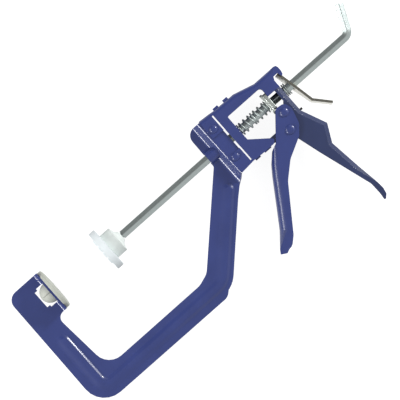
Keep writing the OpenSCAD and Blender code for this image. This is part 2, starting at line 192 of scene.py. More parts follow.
class Shop:
    """Builds one procedural material or world."""

    def __init__(self, owner: bpy.types.ID, kind: str = "Material", place: str = "Object") -> None:
        """Starts an empty material or world.

        Args:
            owner: The material or world.
            kind: Material or World.
            place: The texture coordinate that its patterns read.
        """
        self.owner = owner
        owner.use_nodes = True
        self.tree = owner.node_tree
        self.tree.nodes.clear()
        self.output = self.tree.nodes.new("ShaderNodeOutput" + kind)
        self.place = self.node("ShaderNodeTexCoord", {}, {}, place)

    def node(
        self,
        kind: str,
        settings: dict[str, object],
        sockets: dict[object, object],
        output: object = 0,
    ) -> Wave:
        """Adds a node.

        Args:
            kind: The node's type.
            settings: Its properties, set first.
            sockets: Values or expressions for its inputs, by name or index.
            output: The output that is used.

        Returns:
            The output as an expression.
        """
        made = self.tree.nodes.new(kind)
        for key, value in settings.items():
            setattr(made, key, value)
        for key, value in sockets.items():
            if isinstance(value, Wave):
                value = value.value
            if isinstance(value, bpy.types.NodeSocket):
                self.tree.links.new(value, made.inputs[key])
            else:
                made.inputs[key].default_value = value
        return Wave(self, made.outputs[output])

    def grain(
        self,
        size: float,
        stretch: Point3 = (1, 1, 1),
        detail: float = 2.0,
        roughness: float = 0.5,
    ) -> Wave:
        """Noise of a given grain.

        Args:
            size: The grain in millimetres.
            stretch: How many times longer the grain is along each axis.
            detail: The noise's octaves.
            roughness: How strong the finer octaves are.

        Returns:
            A value round 0.5.
        """
        scale = tuple(1 / (size * MM * s) for s in stretch)
        spread = self.node(
            "ShaderNodeMapping", {}, {"Vector": self.place, "Scale": scale}
        )
        return self.node(
            "ShaderNodeTexNoise",
            {},
            {"Vector": spread, "Scale": 1.0, "Detail": detail, "Roughness": roughness},
        )

    def blend(self, share: object, first: object, second: object) -> Wave:
        """Mix of two colours.

        Args:
            share: How much of the second colour.
            first: A colour of four numbers or an expression.
            second: The other colour.

        Returns:
            The mixed colour.
        """
        return self.node(
            "ShaderNodeMix", {"data_type": "RGBA"}, {0: share, 6: first, 7: second}, 2
        )

    def bump(self, height: object, depth: float) -> Wave:
        """Surface relief.

        Args:
            height: An expression from 0 to 1.
            depth: The relief's depth in millimetres.

        Returns:
            A normal.
        """
        return self.node(
            "ShaderNodeBump", {}, {"Height": height, "Distance": depth * MM, "Strength": 1.0}
        )

    def ray(self, kind: str) -> Wave:
        """Whether the ray that is being traced is of a kind.

        Args:
            kind: Camera, Glossy or Transmission.

        Returns:
            1 for such a ray and 0 for others.
        """
        return self.node("ShaderNodeLightPath", {}, {}, f"Is {kind} Ray")

    def facing(self, way: Point3, source: Wave | None = None) -> Wave:
        """How far the place or another vector points one way.

        Args:
            way: The direction.
            source: The vector, or nothing for the place.

        Returns:
            The dot product of both.
        """
        sockets = {0: source or self.place, 1: Vector(way).normalized()}
        return self.node("ShaderNodeVectorMath", {"operation": "DOT_PRODUCT"}, sockets, "Value")

    def end(self, shader: Wave) -> bpy.types.ID:
        """Links the last shader to the output.

        Args:
            shader: The shader.

        Returns:
            The material or world.
        """
        self.tree.links.new(shader.value, self.output.inputs["Surface"])
        return self.owner

    def surface(self, **sockets: object) -> bpy.types.ID:
        """Ends the material with a Principled shader.

        Args:
            sockets: Values of its inputs, with _ for a space.

        Returns:
            The material.
        """
        values = {key.replace("_", " "): value for key, value in sockets.items()}
        return self.end(self.node("ShaderNodeBsdfPrincipled", {}, values))


def grey_of(colour: Colour, gain: float) -> Colour:
    """A colour made lighter or darker.

    Args:
        colour: The colour.
        gain: How many times lighter it gets.

    Returns:
        The new colour.
    """
    return (colour[0] * gain, colour[1] * gain, colour[2] * gain, 1.0)


@dataclass(frozen=True)
class Enamel:
    """Blue gloss enamel over pressed steel, with a little orange peel and dust in it."""

    name: str = "blue_enamel"
    colour: Colour = (0.031, 0.048, 0.195, 1)
    patch: float = 22.0
    patch_gain: Point2 = (0.93, 1.06)
    dust: float = 0.45
    dust_share: float = 0.2
    dust_gain: float = 1.5
    roughness: float = 0.26
    peel: float = 7.0
    peel_depth: float = 0.0006

    def make(self) -> bpy.types.Material:
        """Builds the material.

        Returns:
            The material.
        """
        shop = Shop(bpy.data.materials.new(self.name))
        cloud = shop.grain(self.patch, detail=3)
        fine = shop.grain(self.dust, detail=2)
        wave = shop.grain(self.peel, detail=1)
        dark, pale = (grey_of(self.colour, gain) for gain in self.patch_gain)
        shade = shop.blend(cloud.above(0.5, 0.5), dark, pale)
        speck = fine.above(0.72, 0.06)
        shade = shop.blend(
            speck * self.dust_share, shade, grey_of(self.colour, self.dust_gain)
        )
        return shop.surface(
            Base_Color=shade,
            Roughness=self.roughness + 0.08 * cloud + 0.08 * speck,
            Normal=shop.bump(wave, self.peel_depth),
            Specular_IOR_Level=0.4,
            Coat_Weight=0.5,
            Coat_Roughness=0.08,
        )


@dataclass(frozen=True)
class Metal:
    """Bare or plated steel with a grain in one direction."""

    name: str
    colour: Colour
    roughness: float
    stretch: Point3
    grain: float = 0.22
    depth: float = 0.01
    spread: float = 0.25
    stain: Colour = (0.25, 0.24, 0.2, 1)
    stained: float = 0.2
    cloud: float = 5.0
    edge_shade: float = 0.0
    tear: float = 0.5
    tear_stretch: Point3 = (1, 1, 12)
    edge_shade_gain: Point2 = (0.12, 0.7)

    def make(self) -> bpy.types.Material:
        """Builds the material.

        Returns:
            The material.
        """
        shop = Shop(bpy.data.materials.new(self.name))
        lines = shop.grain(self.grain, self.stretch, detail=3, roughness=0.7)
        cloud = shop.grain(self.cloud, detail=4)
        shade = shop.blend(
            lines,
            grey_of(self.colour, 1 - self.spread),
            grey_of(self.colour, 1 + self.spread),
        )
        mark = cloud.above(0.62, 0.2) * self.stained
        shade = shop.blend(mark, shade, self.stain)
        rough = self.roughness + 0.12 * cloud + 0.15 * (lines - 0.5)
        # Faces along Z, the lever's cut edges, are darkened: painted shade, with a torn grain and
        # more roughness of their own
        if self.edge_shade:
            normal = shop.node("ShaderNodeNewGeometry", {}, {}, "Normal")
            edge = (shop.facing((0, 0, 1), normal) ** 2).above(0.6, 0.3)
            torn = shop.grain(self.tear, self.tear_stretch, detail=3, roughness=0.8)
            dark, pale = (grey_of(self.stain, gain) for gain in self.edge_shade_gain)
            edge_shade_colour = shop.blend(torn.above(0.5, 0.3), dark, pale)
            shade = shop.blend(edge * self.edge_shade, shade, edge_shade_colour)
            rough = rough + 0.2 * edge
        return shop.surface(
            Base_Color=shade,
            Metallic=1.0,
            Roughness=rough,
            Normal=shop.bump(lines, self.depth),
        )


@dataclass(frozen=True)
class Plastic:
    """Moulded nylon with a faint texture and rubbed patches."""

    name: str
    colour: Colour
    roughness: float = 0.5
    patch: float = 9.0
    patch_gain: Point2 = (0.95, 1.03)
    texture: float = 0.35
    texture_depth: float = 0.006
    grime: Colour = (0.32, 0.31, 0.26, 1)
    grime_share: float = 0.12

    def make(self) -> bpy.types.Material:
        """Builds the material.

        Returns:
            The material.
        """
        shop = Shop(bpy.data.materials.new(self.name))
        cloud = shop.grain(self.patch, detail=4)
        fine = shop.grain(self.texture, detail=2)
        dark, pale = (grey_of(self.colour, gain) for gain in self.patch_gain)
        shade = shop.blend(cloud.above(0.5, 0.5), dark, pale)
        mark = cloud.above(0.68, 0.12) * self.grime_share
        return shop.surface(
            Base_Color=shop.blend(mark, shade, self.grime),
            Roughness=self.roughness + 0.15 * (fine - 0.5) + 0.1 * cloud,
            Normal=shop.bump(fine, self.texture_depth),
            Specular_IOR_Level=0.45,
        )


class Variant(Enum):
    """Finishes that differ from the rest of their slot: a darker enamel on the handle, which is
    painted shade, and a lighter plate on the front drive plate, which is painted light.
    """

    # Darker copy of the blue enamel for the handle's side plates: painted shade
    HANDLE = "handle_enamel"
    # Lighter copy of the zinc plate for the front drive plate: painted light
    FRONT = "bright_plate"


FINISHES: dict[Slot | Variant, Enamel | Metal | Plastic] = {
    Slot.PAINT: Enamel(),
    # The handle's darker enamel is painted shade, not a paint of its own
    Variant.HANDLE: Enamel(Variant.HANDLE.value, (0.022, 0.034, 0.106, 1)),
    Slot.ROD: Metal("drawn_rod", (0.50, 0.56, 0.55, 1), 0.24, (60, 1, 1), spread=0.12),
    Slot.PLATE: Metal("zinc_plate", (0.58, 0.63, 0.60, 1), 0.36, (1, 30, 1), spread=0.3),
    # The front drive plate's lighter zinc is painted light
    Variant.FRONT: Metal(
        Variant.FRONT.value, (0.70, 0.75, 0.71, 1), 0.34, (1, 30, 1), spread=0.25
    ),
    Slot.SPRING: Metal("zinc_wire", (0.48, 0.53, 0.52, 1), 0.5, (1, 8, 8), spread=0.12),
    # The lever's dark cut edges are painted shade
    Slot.LEVER: Metal(
        "yellow_plate", (0.98, 0.97, 0.88, 1), 0.28, (1, 20, 1), spread=0.08, edge_shade=0.95
    ),
    Slot.DARK: Metal("black_oxide", (0.05, 0.05, 0.05, 1), 0.45, (1, 1, 1)),
    Slot.BEIGE: Plastic("beige_nylon", (0.52, 0.54, 0.48, 1)),
    Slot.GREY: Plastic("grey_nylon", (0.84, 0.90, 0.87, 1)),
    Slot.WHITE: Plastic("white_nylon", (0.83, 0.89, 0.91, 1)),
}


# Modelling helpers -----------------------------------------------------------------------


def linked(name: str, data: bpy.types.ID) -> Piece:
    """A new object in the scene.

    Args:
        name: Its name.
        data: Its mesh, curve, lamp or camera.

    Returns:
        The object.
    """
    made = bpy.data.objects.new(name, data)
    bpy.context.scene.collection.objects.link(made)
    return made


def activate(piece: Piece) -> None:
    """Makes a piece the only selected object.

    Args:
        piece: The piece.
    """
    bpy.ops.object.select_all(action="DESELECT")
    piece.select_set(True)
    bpy.context.view_layer.objects.active = piece


@contextmanager
def editing(piece: Piece) -> Iterator[None]:
    """Edit mode on one piece.

    Args:
        piece: The piece.
    """
    activate(piece)
    bpy.ops.object.mode_set(mode="EDIT")
    try:
        yield
    finally:
        bpy.ops.object.mode_set(mode="OBJECT")


def pick(piece: Piece, part: Part, test: Test) -> None:
    """Selects elements in edit mode by a test.

    Args:
        piece: The piece in edit mode.
        part: The kind of element.
        test: Takes the element and says whether it is wanted.
    """
    bpy.ops.mesh.select_mode(type=part.value)
    bpy.ops.mesh.select_all(action="DESELECT")
    mesh = bmesh.from_edit_mesh(piece.data)
    mesh.normal_update()
    items = {Part.VERT: mesh.verts, Part.EDGE: mesh.edges, Part.FACE: mesh.faces}[part]
    for item in [item for item in items if test(item)]:
        item.select_set(True)
    mesh.select_flush_mode()
    bmesh.update_edit_mesh(piece.data)


def modify(piece: Piece, kind: str, **settings: object) -> None:
    """Adds a modifier and applies it.

    Args:
        piece: The piece.
        kind: The modifier's type.
        settings: Its properties.
    """
    activate(piece)
    made = piece.modifiers.new(kind.lower(), kind)
    for key, value in settings.items():
        setattr(made, key, value)
    bpy.ops.object.modifier_apply(modifier=made.name)


def trace(name: str, points: Sequence[Point3], filled: bool = True) -> Piece:
    """Draws a line through points by extruding one vertex from each to the next.

    Args:
        name: The new piece's name.
        points: The points in order.
        filled: Whether the line is closed and filled with a face.

    Returns:
        The new piece.
    """
    bpy.ops.object.select_all(action="DESELECT")
    bpy.ops.mesh.primitive_plane_add(size=1)
    piece = bpy.context.active_object
    piece.name = name
    piece.data.name = name
    with editing(piece):
        bpy.ops.mesh.select_mode(type="VERT")
        bpy.ops.mesh.select_all(action="SELECT")
        bpy.ops.mesh.merge(type="CENTER")
        bpy.ops.transform.translate(value=points[0])
        for before, after in zip(points, points[1:]):
            step = tuple(b - a for a, b in zip(before, after))
            bpy.ops.mesh.extrude_region_move(TRANSFORM_OT_translate={"value": step})
        if filled:
            pick(piece, Part.VERT, lambda vert: len(vert.link_edges) < 2)
            bpy.ops.mesh.edge_face_add()
            bpy.ops.mesh.select_all(action="SELECT")
            bpy.ops.mesh.edge_face_add()
    return piece


def extrude(piece: Piece, part: Part, test: Test, step: Point3) -> None:
    """Extrudes what a test picks.

    Args:
        piece: The piece.
        part: The kind of element that is picked.
        test: Says which elements are extruded.
        step: How far they go.
    """
    with editing(piece):
        pick(piece, part, test)
        bpy.ops.mesh.extrude_region_move(TRANSFORM_OT_translate={"value": step})


def spin(
    piece: Piece,
    test: Test,
    angle: float,
    steps: int,
    centre: Point3,
    axis: Point3 = (0, 0, 1),
    part: Part = Part.EDGE,
) -> None:
    """Turns picked edges or faces round an axis, leaving faces behind them.

    Args:
        piece: The piece.
        test: Says which edges are turned.
        angle: The angle in degrees.
        steps: The number of steps.
        centre: A point on the axis.
        axis: The axis, round which a positive angle turns by the right hand.
        part: The kind of element that is turned.
    """
    with editing(piece):
        pick(piece, part, test)
        turn = -math.radians(angle)
        bpy.ops.mesh.spin(steps=steps, angle=turn, center=centre, axis=axis)


def weld(reach: float = WELD) -> None:
    """Merges the doubles of the piece in edit mode, and leaves all of it selected.

    Args:
        reach: The distance within which points merge.
    """
    bpy.ops.mesh.select_all(action="SELECT")
    bpy.ops.mesh.remove_doubles(threshold=reach)


def level(x: float) -> Test:
    """Test for the edges or faces that lie wholly at one x.

    Args:
        x: The x.

    Returns:
        The test.
    """
    return lambda item: all(abs(v.co.x - x) < NEAR for v in item.verts)


def tidy(piece: Piece) -> None:
    """Merges doubles and turns all faces outwards.

    Args:
        piece: The piece.
    """
    with editing(piece):
        weld()
        bpy.ops.mesh.normals_make_consistent(inside=False)


def face_up(piece: Piece) -> None:
    """Merges an open sheet's doubles and turns its faces to +Z.

    Args:
        piece: The sheet.
    """
    tidy(piece)
    with editing(piece):
        mesh = bmesh.from_edit_mesh(piece.data)
        if sum(face.normal.z for face in mesh.faces) < 0:
            bpy.ops.mesh.select_all(action="SELECT")
            bpy.ops.mesh.flip_normals()


def prism(name: str, outline: Sequence[Point2], low: float, high: float) -> Piece:
    """Solid of an outline between two heights.

    Args:
        name: The new piece's name.
        outline: Its corners in the XY plane.
        low: The lower height.
        high: The upper height.

    Returns:
        The new piece.
    """
    piece = trace(name, [(x, y, low) for x, y in outline])
    extrude(piece, Part.FACE, lambda face: True, (0, 0, high - low))
    tidy(piece)
    return piece


def lathe(name: str, profile: Sequence[Point2], steps: int = 64) -> Piece:
    """Turned solid round the X axis.

    Args:
        name: The new piece's name.
        profile: Places (x, radius) that start and end on the axis.
        steps: The number of steps round.

    Returns:
        The new piece.
    """
    piece = trace(name, [(x, r, 0.0) for x, r in profile], filled=False)
    spin(piece, lambda edge: True, 360, steps, (0, 0, 0), (1, 0, 0))
    tidy(piece)
    return piece


def aim(piece: Piece, at: Point3, turn: Point3 = (0, 0, 0)) -> None:
    """Turns a piece in degrees and moves it, and puts both into its mesh.

    Args:
        piece: The piece.
        at: Where its origin goes.
        turn: The turn about X, Y and Z.
    """
    activate(piece)
    piece.rotation_euler = tuple(math.radians(t) for t in turn)
    piece.location = at
    bpy.ops.object.transform_apply(location=True, rotation=True, scale=True)


def cut(piece: Piece, tool: Piece) -> None:
    """Cuts a tool's shape out of a piece and removes the tool.

    Args:
        piece: The piece.
        tool: The shape that is cut away.
    """
    modify(piece, "BOOLEAN", operation="DIFFERENCE", solver="EXACT", object=tool)
    bpy.data.objects.remove(tool)


def join(pieces: Sequence[Piece]) -> Piece:
    """Makes one piece of several.

    Args:
        pieces: The pieces, of which the first gives its name.

    Returns:
        The joined piece.
    """
    activate(pieces[0])
    for piece in pieces:
        piece.select_set(True)
    bpy.ops.object.join()
    return pieces[0]


def soften(
    piece: Piece, width: float = ROUND, segments: int = 2, angle: float = 32
) -> None:
    """Rounds the sharp edges of a piece.

    Args:
        piece: The piece.
        width: The width of the rounding.
        segments: The steps across it.
        angle: The sharpest angle in degrees that is left alone.
    """
    modify(
        piece,
        "BEVEL",
        width=width,
        segments=segments,
        limit_method="ANGLE",
        angle_limit=math.radians(angle),
        use_clamp_overlap=True,
    )


def copied(node: str) -> Piece:
    """A welded copy of a frame node, in millimetres, with its flat faces whole.

    Args:
        node: The node's name.

    Returns:
        The copy.
    """
    mesh = frame["nodes"][node].data.copy()
    piece = linked(node + "_dressed", mesh)
    mesh.transform(Matrix.Scale(1 / MM, 4))
    with editing(piece):
        weld(LOOSE)
        bpy.ops.mesh.customdata_custom_splitnormals_clear()
        bpy.ops.mesh.dissolve_limited(angle_limit=math.radians(0.4))
    return piece


def bore(at: Point2, radius: float, length: float) -> Piece:
    """Round cutter along X.

    Args:
        at: Its middle in the XY plane.
        radius: Its radius.
        length: Its length.

    Returns:
        The cutter.
    """
    bpy.ops.object.select_all(action="DESELECT")
    bpy.ops.mesh.primitive_cylinder_add(vertices=48, radius=radius, depth=length)
    tool = bpy.context.active_object
    aim(tool, (*at, 0), (0, 90, 0))
    return tool


def place(
    piece: Piece,
    body: Body,
    slot: Slot,
    *nodes: str,
    smooth: float = 32,
    variant: Variant | None = None,
) -> None:
    """Brings a finished piece to metres, dresses it and sets it on its body.

    Args:
        piece: The piece, in millimetres.
        body: The body it rides on.
        slot: Its material slot.
        nodes: Frame nodes it stands for.
        smooth: Degrees up to which its edges are shaded round.
        variant: A finish of its own within the slot.
    """
    activate(piece)
    piece.scale = (MM, MM, MM)
    bpy.ops.object.transform_apply(location=True, rotation=True, scale=True)
    bpy.ops.object.shade_smooth_by_angle(angle=math.radians(smooth))
    modify(piece, "WEIGHTED_NORMAL", keep_sharp=True, weight=80)
    piece.data.materials.clear()
    piece.data.materials.append(MATERIALS[variant or slot])
    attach(piece, body.value)
    if nodes:
        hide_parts(*nodes)
    LOG.info("%s: %d faces on %s", piece.name, len(piece.data.polygons), body.value)


# Outlines --------------------------------------------------------------------------------


def rounded(corners: Sequence[Sequence[float]], steps: int = 6) -> list[Point2]:
    """Closed outline whose corners with a third number are rounded to that radius.

    Args:
        corners: Corners (x, y) or (x, y, radius).
        steps: The steps in each rounded corner.

    Returns:
        The outline's points.
    """
    made: list[Point2] = []
    for i, corner in enumerate(corners):
        here = Vector(corner[:2])
        if len(corner) < 3:
            made.append((here.x, here.y))
            continue
        back = (Vector(corners[i - 1][:2]) - here).normalized()
        on = (Vector(corners[(i + 1) % len(corners)][:2]) - here).normalized()
        half = back.angle(on) / 2
        centre = here + (back + on).normalized() * corner[2] / math.sin(half)
        start = here + back * corner[2] / math.tan(half) - centre
        sweep = math.copysign(math.pi - 2 * half, start.cross(on - back))
        for k in range(steps + 1):
            turned = Matrix.Rotation(sweep * k / steps, 2) @ start + centre
            made.append((turned.x, turned.y))
    return made


@dataclass
class Channel:
    """Sheet bent to a channel: two side plates and the web that joins them."""

    name: str
    web: list[Point2]
    side: list[Sequence[float]]
    half: float
    bend: float
    sheet: float = 1.8
    bend_steps: int = 7
    bent: tuple[int, int] = (0, 99)
    swell: Sequence[Point2] = ()

    def on_web(self, spot: Vector) -> bool:
        """Whether a place in the XY plane lies on the web's line."""
        for a, b in zip(self.web, self.web[1:]):
            start, run = Vector(a), Vector(b) - Vector(a)
            share = (spot - start).dot(run) / run.length_squared
            if -0.001 < share < 1.001 and (start + run * share - spot).length < NEAR:
                return True
        return False

    def along(self, edge: object, first: int, last: int) -> bool:
        """Whether an edge is a fold between a side and the web, in a range of stretches."""
        if len(edge.link_faces) != 2:
            return False
        flat = [abs(face.normal.z) > 0.9 for face in edge.link_faces]
        if sum(flat) != 1:
            return False
        middle = ((edge.verts[0].co + edge.verts[1].co) / 2).xy
        stretches = list(zip(self.web, self.web[1:]))[first:last]
        return any(((Vector(a) + Vector(b)) / 2 - middle).length < NEAR for a, b in stretches)

    def round_web(self, piece: Piece) -> None:
        """Widens the bends by the swell, which holds a depth and a width for each web point.

        Args:
            piece: The bent sheet, without thickness.
        """
        for vert in piece.data.vertices:
            gaps = [(vert.co.xy - Vector(spot)).length for spot in self.web]
            i = gaps.index(min(gaps))
            if gaps[i] > self.bend * 1.35:
                continue
            deep, wide = self.swell[i]
            corner = Vector(self.web[i])
            vert.co.xy = corner + (vert.co.xy - corner) * deep
            rim = math.copysign(self.half, vert.co.z)
            vert.co.z = rim + (vert.co.z - rim) * wide

    def build(self) -> Piece:
        """Models the channel.

        Returns:
            The channel as a solid of even sheet.
        """
        outline = self.web + rounded(self.side)
        piece = prism(self.name, outline, -self.half, self.half)
        with editing(piece):
            pick(
                piece,
                Part.FACE,
                lambda face: abs(face.normal.z) < 0.5
                and not self.on_web(face.calc_center_median().xy),
            )
            bpy.ops.mesh.delete(type="FACE")
            pick(piece, Part.EDGE, lambda edge: self.along(edge, *self.bent))
            bpy.ops.mesh.bevel(
                offset=self.bend,
                segments=self.bend_steps,
                profile=0.5,
                affect="EDGES",
                clamp_overlap=False,
            )
        if self.swell:
            self.round_web(piece)
        modify(
            piece,
            "SOLIDIFY",
            thickness=self.sheet,
            offset=-1,
            use_even_offset=True,
            use_quality_normals=True,
        )
        return piece


# Sub-assemblies --------------------------------------------------------------------------


@dataclass
class Bead:
    """Pressed bead along the frame: steep on one side and soft on the other.

    It runs down the jaw's arm, round a corner, along the back and up the slanted arm. The
    steep side is the inner one on the jaw's arm and the outer one on the slanted arm.
    """

    first: Point2 = (-16.0, -78.4)
    first_r: float = 9.0
    second: Point2 = (101.5, -70.4)
    second_r: float = 17.0
    rise: float = 43.4
    slant: float = 72.2
    high: float = 1.7
    reach: float = 8.4
    steep: float = 5.6
    crest: float = 2.0
    sunk: float = 0.03
    columns: int = 14
    back_steps: int = 12

    def route(self) -> list[Vector]:
        """Centre line of the bead as points."""
        (x0, y0), (x1, y1) = self.first, self.second
        line = [Vector((x0 - self.first_r, y0 + self.rise))]
        for k in range(19):
            a = math.radians(180 + 5 * k)
            line.append(Vector((x0, y0)) + self.first_r * Vector((math.cos(a), math.sin(a))))
        for k in range(10):
            a = math.radians(270 + 5 * k)
            line.append(Vector((x1, y1)) + self.second_r * Vector((math.cos(a), math.sin(a))))
        return line + [line[-1] + self.slant * Vector((math.sqrt(0.5), math.sqrt(0.5)))]

    def height(self, spot: Vector, route: Sequence[Vector]) -> float:
        """Height of the bead over the sheet.

        Args:
            spot: A place on the sheet.
            route: The centre line.

        Returns:
            The height in millimetres.
        """
        nearest, left, along, gone = 1e9, 0.0, 0.0, 0.0
        for start, end in zip(route, route[1:]):
            run = end - start
            share = min(1.0, max(0.0, (spot - start).dot(run) / run.length_squared))
            gap = spot - start - run * share
            if gap.length < nearest - 1e-6:
                nearest = gap.length
                left = run.normalized().cross(gap) / max(nearest, 1e-6)
                along = gone + run.length * share
            gone += run.length
        change = (along - self.rise) / (gone - self.rise - self.slant)
        change = min(1.0, max(0.0, change))
        change = change * change * (3 - 2 * change)
        soft = (1 - left) / 2 * (1 - change) + (1 + left) / 2 * change
        crest = self.crest * (1 - soft)
        foot = self.steep + (self.reach - 0.3 - self.steep) * soft
        fall = min(1.0, max(0.0, (nearest - crest) / (foot - crest)))
        return self.high * (1 - fall * fall * (3 - 2 * fall))


@dataclass
class CFrame:
    """The two pressed halves of the C frame with bead, jaw flange and raised head."""

    sheet: float = 2.0
    head: float = 8.9
    rise: tuple[float, float] = (175.9, 181.8)
    fold_x: float = -9.3
    fold_r: float = 2.5
    flange: float = 12.0
    rod_pass: float = 4.7
    neck_pass: float = 8.3
    rise_bevel: float = 2.6
    bead: Bead = field(default_factory=Bead)
    outline: list[Sequence[float]] = field(
        default_factory=lambda: [
            (-9.3, 24.1), (-37.9, 24.1, 9), (-38.8, -60), (-39.3, -98.6, 21),
            (103.5, -99.1, 9), (181.6, -27.6), (183.3, -26.8), (194.5, -26.8),
            (194.5, 25.8), (183, 26.6), (182.9, 27.9), (168.6, 27.9, 8.5),
            (168.0, -8.2, 3), (103, -72.2, 14), (92, -75.9, 16), (-11.4, -75.9, 15.5),
            (-16.3, -15.3, 6.2), (-9.3, -15.3),
        ]
    )

    def half(self) -> Piece:
        """Models the half that faces the viewer.

        Returns:
            The half, with z from 0 outwards.
        """
        piece = trace("frame_half", [(x, y, self.sheet) for x, y in rounded(self.outline)])
        start, end = self.rise
        with editing(piece):
            for x in self.rise:
                bpy.ops.mesh.select_all(action="SELECT")
                bpy.ops.mesh.bisect(plane_co=(x, 0, 0), plane_no=(1, 0, 0))
            bpy.ops.mesh.select_all(action="SELECT")
            bpy.ops.mesh.normals_make_consistent(inside=False)
            mesh = bmesh.from_edit_mesh(piece.data)
            if mesh.faces[:][0].normal.z < 0:
                bpy.ops.mesh.flip_normals()
            raised = {round(v.co.x, 3) for v in mesh.verts if v.co.x > start + NEAR}
            for x in sorted(raised):
                share = min(1, (x - start) / (end - start))
                pick(piece, Part.VERT, lambda vert: abs(vert.co.x - x) < FINE)
                bpy.ops.transform.translate(value=(0, 0, share * (self.head - self.sheet)))
        spin(
            piece,
            level(self.fold_x),
            angle=-90,
            steps=8,
            centre=(self.fold_x, 0, self.sheet + self.fold_r),
            axis=(0, 1, 0),
        )
        tip = self.sheet + self.fold_r
        extrude(
            piece,
            Part.EDGE,
            lambda edge: all(
                abs(v.co.x - self.fold_x - self.fold_r) < NEAR and abs(v.co.z - tip) < NEAR
                for v in edge.verts
            ),
            (0, 0, self.flange - tip),
        )
        with editing(piece):
            weld()
            pick(
                piece,
                Part.EDGE,
                lambda edge: len(edge.link_faces) == 2
                and any(level(x)(edge) for x in self.rise),
            )
            bpy.ops.mesh.bevel(
                offset=self.rise_bevel, segments=6, profile=0.5, affect="EDGES"
            )
        modify(piece, "SOLIDIFY", thickness=self.sheet, offset=-1, use_even_offset=True)
        self.pierce(piece)
        soften(piece)
        return piece

    def pierce(self, piece: Piece) -> None:
        """Cuts the window behind the jaw and the passages of the rod and the pad's neck.

        Args:
            piece: The solid half.
        """
        pad_y, reach, rear, run, tall = 4.4, 9.4, -6.8, 7.2, 9.9
        side = math.asin(math.sqrt(1 - (run / reach) ** 2))
        arc = [
            (rear - reach * math.cos(a), pad_y - reach * math.sin(a))
            for a in [side * (k / 5 - 1) for k in range(11)]
        ]
        window = [(rear, pad_y - tall), (rear, pad_y + tall), (rear - run, pad_y + tall)]
        window += arc + [(rear - run, pad_y - tall)]
        cut(piece, prism("window", window, -2, 30))
        cut(piece, bore((182, 0), self.rod_pass, 40))
        cut(piece, bore((-10, pad_y), self.neck_pass, 14))

    def bead_strip(self) -> Piece:
        """Models the pressed bead, with round corners and ends.

        Returns:
            The bead, standing on the half's outer face.
        """
        bead = self.bead
        step = bead.reach / bead.columns
        across = [step * k for k in range(-bead.columns, bead.columns + 1)]
        (x0, y0), r0 = bead.first, bead.first_r
        (x1, y1), r1 = bead.second, bead.second_r
        top = y0 + bead.rise
        piece = trace("bead", [(x0 - r0 + d, top, 0.0) for d in across], filled=False)
        spin(
            piece,
            lambda edge: min(v.co.x for v in edge.verts) > x0 - r0 - FINE,
            180, 16, (x0 - r0, top, 0),
        )
        with editing(piece):
            weld()

        def crossing(point: Vector, way: Vector, low: float = -99.0) -> Test:
            """Test for the edges that lie across a way at a point."""
            return lambda edge: all(
                abs((v.co - point).dot(way)) < FINE and v.co.x > low for v in edge.verts
            )

        down, right = Vector((0, -1, 0)), Vector((1, 0, 0))
        slant = Vector((math.sqrt(0.5), math.sqrt(0.5), 0))
        low_first, low_second = Vector((x0, y0, 0)), Vector((x1, y1, 0))
        extrude(piece, Part.EDGE, crossing(Vector((0, top, 0)), down), (0, -bead.rise, 0))
        spin(piece, crossing(low_first, down), 90, 14, (x0, y0, 0))
        for _ in range(bead.back_steps):
            here = max(v.co.x for v in piece.data.vertices)
            extrude(piece, Part.EDGE, crossing(Vector((here, 0, 0)), right),
                    ((x1 - x0) / bead.back_steps, 0, 0))
        spin(piece, crossing(low_second, right), 45, 8, (x1, y1, 0))
        extrude(piece, Part.EDGE, crossing(low_second, slant, x1), tuple(slant * bead.slant))
        side = Vector((slant.y, -slant.x, 0))
        tip = low_second + side * r1 + slant * bead.slant
        end = crossing(tip, slant, x1)
        spin(
            piece,
            lambda edge: end(edge) and all((v.co - tip).dot(side) > -FINE for v in edge.verts),
            180, 16, tuple(tip),
        )
        face_up(piece)
        route = bead.route()
        for vert in piece.data.vertices:
            vert.co.z = self.sheet - bead.sunk + bead.height(vert.co.xy, route)
        modify(piece, "SOLIDIFY", thickness=1.0, offset=-1)
        return piece

    def tunnel(self) -> Piece:
        """Models the half-round bulge that the rod runs in.

        Returns:
            The bulge over the half's outer face.
        """
        radius, foot, start, end = 6.7, 2.2, 168.7, 182.6
        lift = self.sheet + foot
        away = math.sqrt((radius + foot) ** 2 - lift ** 2)
        lean = math.atan2(lift, away)
        section = [
            (away - foot * math.cos(a), lift - foot * math.sin(a))
            for a in [math.pi / 2 - (math.pi / 2 - lean) * k / 6 for k in range(7)]
        ]
        section[0] = (away, self.sheet - 0.02)
        round_part = [
            (radius * math.cos(a), radius * math.sin(a))
            for a in [lean + (math.pi / 2 - lean) * k / 10 for k in range(1, 11)]
        ]
        section += round_part
        section += [(-y, z) for y, z in reversed(section[:-1])]
        piece = trace("tunnel", [(start, y, z) for y, z in section], filled=False)
        extrude(piece, Part.EDGE, lambda edge: True, (end - start, 0, 0))
        face_up(piece)
        modify(piece, "SOLIDIFY", thickness=1.9, offset=-1, use_even_offset=True)
        soften(piece)
        return piece

    def build(self) -> None:
        """Models both halves, bead and bulge on each side."""
        for side, node in ((1, "frame_half_top"), (-1, "frame_half_bottom")):
            word = "top" if side > 0 else "bottom"
            for piece, nodes in (
                (self.half(), (node,)), (self.bead_strip(), ()), (self.tunnel(), ())
            ):
                piece.name = f"{piece.name.split('.')[0]}_{word}_dressed"
                if side < 0:
                    mirror(piece)
                place(piece, Body.FRAME, Slot.PAINT, *nodes, smooth=40)


def mirror(piece: Piece) -> None:
    """Mirrors a piece in the middle plane.

    Args:
        piece: The piece.
    """
    activate(piece)
    piece.scale = (1, 1, -1)
    bpy.ops.object.transform_apply(location=True, rotation=True, scale=True)
    with editing(piece):
        mesh = bmesh.from_edit_mesh(piece.data)
        volume = mesh.calc_volume(signed=True)
        closed = all(edge.is_manifold for edge in mesh.edges)
        wrong = volume < 0 if closed else sum(f.normal.z for f in mesh.faces) > 0
        if wrong:
            bpy.ops.mesh.select_all(action="SELECT")
            bpy.ops.mesh.flip_normals()


